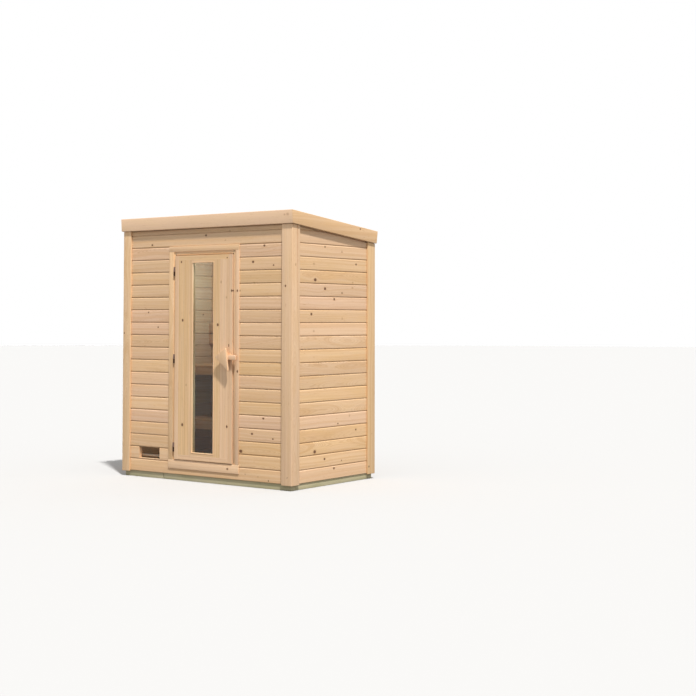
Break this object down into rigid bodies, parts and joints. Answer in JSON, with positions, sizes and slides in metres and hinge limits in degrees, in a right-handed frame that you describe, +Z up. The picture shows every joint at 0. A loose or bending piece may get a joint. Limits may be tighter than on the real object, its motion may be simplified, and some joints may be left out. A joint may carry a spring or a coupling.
{
  "type": "outdoor sauna cabin",
  "caption": "Plank-walled outdoor sauna cabin with a single-pitch roof, corner boards, base beams and a hinged wooden door with a tall narrow pane.",
  "frame": {"origin": "on the ground, under the middle of the floor joist in the middle of the cabin", "axes": "+Z up; the front with the door faces -Y; +X is to the right for someone who looks at the door"},
  "size_m": [1.9906, 1.257, 2.3211],
  "materials": {
    "wall_planks": "planed bare softwood, taken to be spruce",
    "corner_boards": "planed bare softwood, taken to be spruce",
    "fascia_boards": "planed bare softwood, taken to be spruce",
    "base_timber": "greenish softwood, taken to be pressure-treated pine",
    "door_frame_wood": "planed bare softwood, taken to be spruce",
    "door_wood": "planed bare softwood, taken to be spruce",
    "handle_wood": "smooth wood",
    "slider_wood": "planed wood",
    "bench_wood": "smooth wood",
    "floor_boards": "planed boards",
    "ceiling_boards": "planed boards",
    "roof_felt": null,
    "pane": "clear glass, slightly dark",
    "hinge_metal": "dark brown metal"
  },
  "bodies": {
    "cabin": {"front_wall_left": "wall_planks", "front_wall_right": "wall_planks", "front_wall_over_door": "wall_planks", "front_wall_under_door": "wall_planks", "left_wall": "wall_planks", "right_wall": "wall_planks", "back_wall": "wall_planks", "base_beam_front": "base_timber", "base_beam_back": "base_timber", "base_beam_left": "base_timber", "base_beam_right": "base_timber", "base_joist_middle": "base_timber", "corner_board_front_left": "corner_boards", "corner_board_front_right": "corner_boards", "corner_board_right_front": "corner_boards", "corner_board_right_back": "corner_boards", "corner_board_back_right": "corner_boards", "corner_board_back_left": "corner_boards", "corner_board_left_back": "corner_boards", "corner_board_left_front": "corner_boards", "fascia_front": "fascia_boards", "fascia_back": "fascia_boards", "fascia_left": "fascia_boards", "fascia_right": "fascia_boards", "door_casing_left": "door_frame_wood", "door_casing_right": "door_frame_wood", "door_casing_head": "door_frame_wood", "door_casing_sill": "door_frame_wood", "door_frame_left": "door_frame_wood", "door_frame_right": "door_frame_wood", "door_frame_head": "door_frame_wood", "door_frame_sill": "door_frame_wood", "hinge_bottom_frame_half": "hinge_metal", "hinge_middle_frame_half": "hinge_metal", "hinge_top_frame_half": "hinge_metal", "bench_upper": "bench_wood", "bench_lower": "bench_wood", "backrest_slat_upper": "bench_wood", "backrest_slat_lower": "bench_wood", "backrest_batten_left": "bench_wood", "backrest_batten_middle": "bench_wood", "backrest_batten_right": "bench_wood", "floor": "floor_boards", "roof_deck": "ceiling_boards", "roof_covering": "roof_felt", "vent_slider": "slider_wood"},
    "door": {"door_stile_left": "door_wood", "door_stile_right": "door_wood", "door_rail_top": "door_wood", "door_rail_bottom": "door_wood", "door_glass": "pane", "door_handle": "handle_wood", "door_handle_block": "handle_wood", "hinge_bottom_leaf_half": "hinge_metal", "hinge_middle_leaf_half": "hinge_metal", "hinge_top_leaf_half": "hinge_metal"}
  },
  "joints": [
    {"name": "door_hinge", "type": "hinge", "parent": "cabin", "child": "door", "pos_m": [-0.35, -0.594, 1.06], "axis": [0, 0, -1], "range_deg": [0, 110]}
  ]
}
